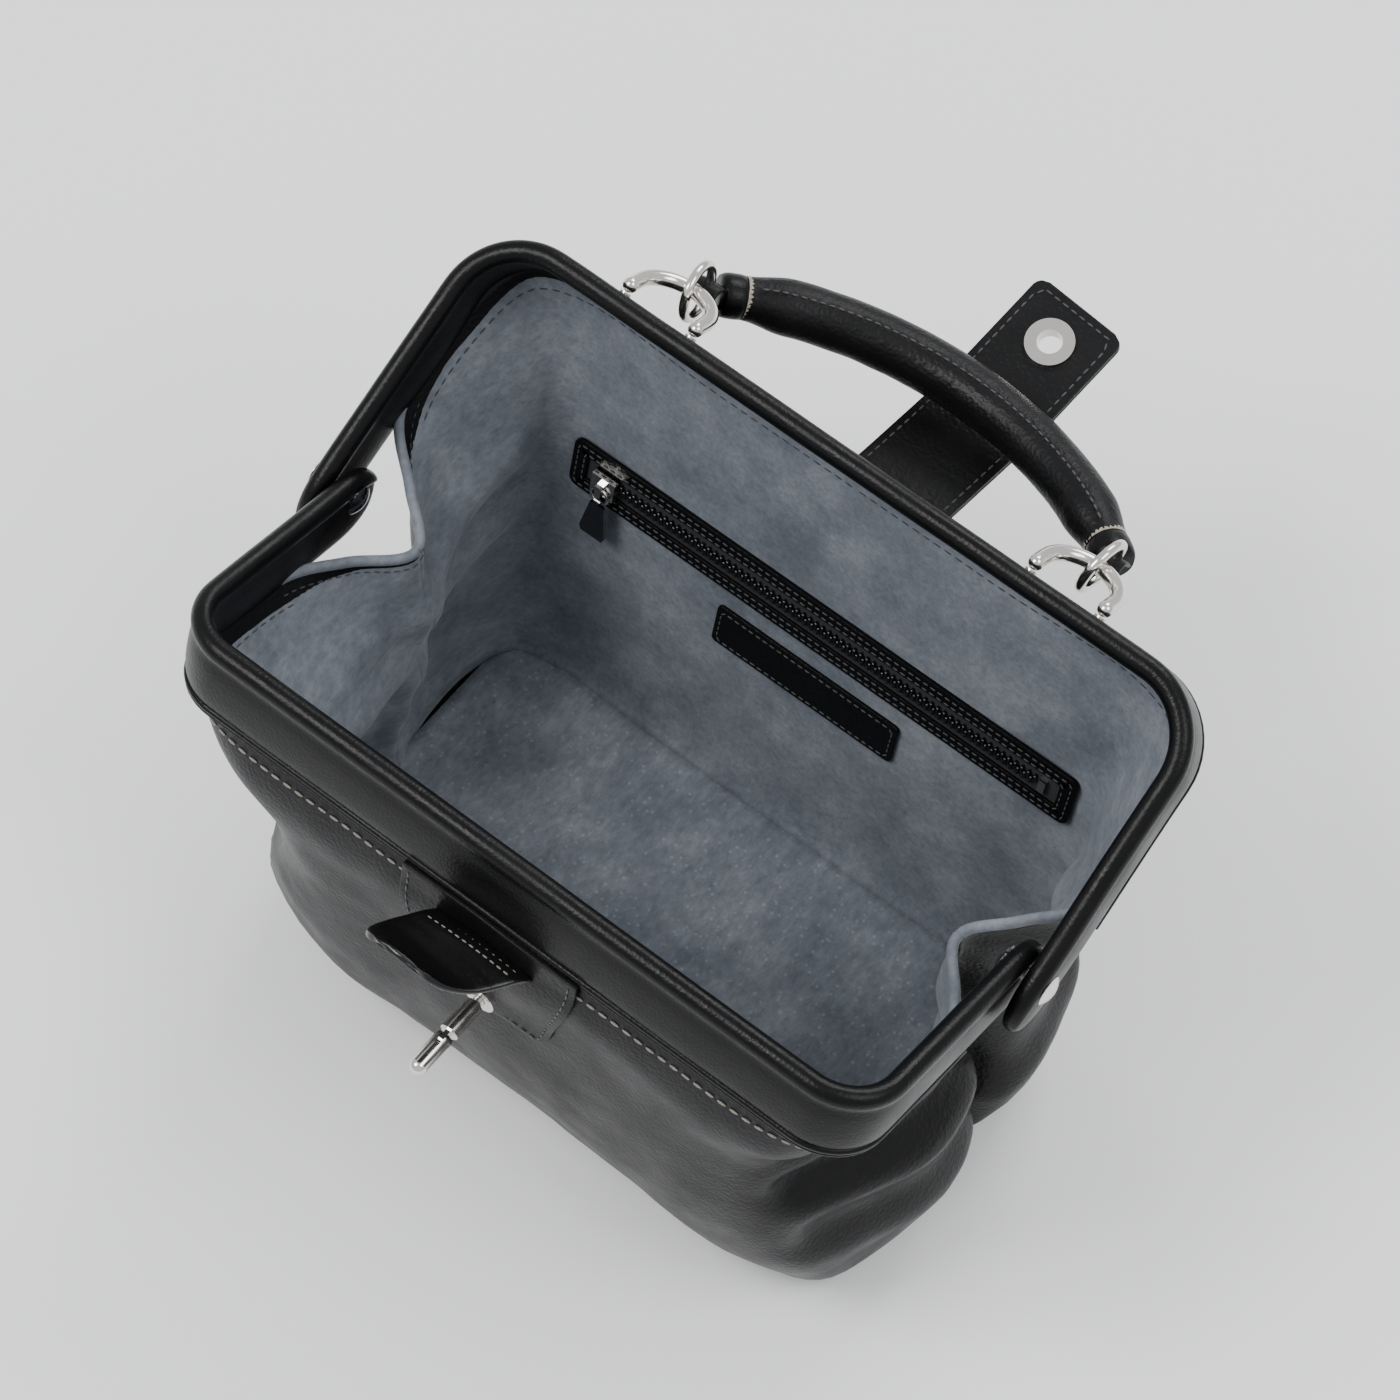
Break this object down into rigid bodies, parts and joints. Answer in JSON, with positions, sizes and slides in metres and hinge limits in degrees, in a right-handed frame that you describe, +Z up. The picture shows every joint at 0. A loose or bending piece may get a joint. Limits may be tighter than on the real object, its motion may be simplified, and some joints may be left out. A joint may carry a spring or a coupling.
{
  "type": "doctor bag",
  "caption": "Small doctor bag with a two-part hinged frame mouth, suede lining, zip pocket, rolled handle on rings, closing strap and toggle.",
  "frame": {"origin": "centre of the underside of the base, on the surface the bag stands on", "axes": "+X along the mouth, to the right seen from the toggle side; +Y from the toggle towards the handle; +Z up"},
  "size_m": [0.2806, 0.3184, 0.2118],
  "materials": {
    "body_leather": "fine-grain black leather, soft satin",
    "frame_leather": "smooth black leather stretched over the frame",
    "glazed_leather": "glazed black leather",
    "strap_lining": "dark grey grained lining leather",
    "suede": "blue-grey suede",
    "nickel": "polished nickel",
    "dark_nickel": "dark polished nickel",
    "steel": "plain steel strip",
    "board": "pressed fibre board",
    "zip_tape": "woven black tape",
    "zip_tooth": "black moulded teeth",
    "cord_core": "twisted cotton core"
  },
  "bodies": {
    "bag": {"base_leather": "body_leather", "base_board": "board", "floor_lining": "suede", "left_gusset": "body_leather", "right_gusset": "body_leather", "left_gusset_lining": "suede", "right_gusset_lining": "suede"},
    "hinge_pins": {"rivet_shanks": "nickel", "rivet_inner_heads": "dark_nickel", "rivet_outer_heads": "nickel"},
    "front_frame": {"front_frame_core": "steel", "front_frame_cover": "frame_leather", "front_welt": "frame_leather"},
    "back_frame": {"back_frame_core": "steel", "back_frame_cover": "frame_leather", "back_welt": "frame_leather", "handle_loops": "nickel", "loop_screws": "nickel"},
    "front_wall": {"front_panel": "body_leather", "front_lining": "suede", "toggle_patch": "body_leather", "toggle_rosette": "nickel", "toggle_post": "nickel", "toggle_pin": "nickel", "pull_tab": "glazed_leather"},
    "toggle_end": {"toggle_tip": "nickel"},
    "back_wall": {"back_panel": "body_leather", "back_lining": "suede", "zip_surround": "frame_leather", "zip_tapes": "zip_tape", "zip_chain": "zip_tooth", "zip_stops": "nickel", "label_patch": "frame_leather", "strap_anchor": "body_leather", "strap_rivets": "nickel"},
    "slider": {"zip_slider": "nickel", "zip_pull_ring": "nickel"},
    "puller": {"zip_pull": "dark_nickel"},
    "rings": {"handle_rings": "nickel"},
    "handle": {"handle_grip": "frame_leather", "handle_core": "cord_core", "handle_collars": "frame_leather", "handle_tabs": "frame_leather"},
    "strap_body": {"strap": "body_leather", "strap_lining": "strap_lining", "eyelet_washer": "nickel"}
  },
  "joints": [
    {"name": "pins_drop", "type": "slide", "parent": "bag", "child": "hinge_pins", "axis": [0, 0, -1], "range_m": [0, 0.0636]},
    {"name": "front_frame_fold", "type": "hinge", "parent": "hinge_pins", "child": "front_frame", "pos_m": [0, 0, 0.156], "axis": [-1, 0, 0], "range_deg": [0, 55]},
    {"name": "back_frame_fold", "type": "hinge", "parent": "hinge_pins", "child": "back_frame", "pos_m": [0, 0, 0.156], "axis": [1, 0, 0], "range_deg": [0, 55.1]},
    {"name": "front_wall_lean", "type": "hinge", "parent": "bag", "child": "front_wall", "pos_m": [0, -0.059, 0.0078], "axis": [-1, 0, 0], "range_deg": [0, 14.3]},
    {"name": "back_wall_lean", "type": "hinge", "parent": "bag", "child": "back_wall", "pos_m": [0, 0.059, 0.0078], "axis": [1, 0, 0], "range_deg": [0, 20.3]},
    {"name": "toggle_flip", "type": "hinge", "parent": "front_wall", "child": "toggle_end", "pos_m": [0, -0.1086, 0.114], "axis": [1, 0, 0], "range_deg": [0, 90]},
    {"name": "zip_slide", "type": "slide", "parent": "back_wall", "child": "slider", "axis": [1, 0, 0], "range_m": [0, 0.162]},
    {"name": "zip_pull_swing", "type": "hinge", "parent": "slider", "child": "puller", "pos_m": [-0.084, 0.07196, 0.10598], "axis": [1, 0, 0], "range_deg": [-75, 0]},
    {"name": "ring_swing", "type": "hinge", "parent": "back_frame", "child": "rings", "pos_m": [0, 0.10239, 0.19868], "axis": [1, 0, 0], "range_deg": [0, 60]},
    {"name": "handle_swing", "type": "hinge", "parent": "rings", "child": "handle", "pos_m": [0, 0.10492, 0.19532], "axis": [1, 0, 0], "range_deg": [0, 30]},
    {"name": "strap_bend", "type": "hinge", "parent": "back_wall", "child": "strap_body", "pos_m": [0, 0.0935, 0.152], "axis": [1, 0, 0], "range_deg": [-60, 0]}
  ],
  "couplings": [
    {"joint": "pins_drop", "follows": "front_frame_fold", "m_per_rad": 0.066046},
    {"joint": "back_frame_fold", "follows": "front_frame_fold", "ratio": 1},
    {"joint": "front_wall_lean", "follows": "front_frame_fold", "ratio": 0.25818},
    {"joint": "back_wall_lean", "follows": "front_frame_fold", "ratio": 0.36727}
  ]
}
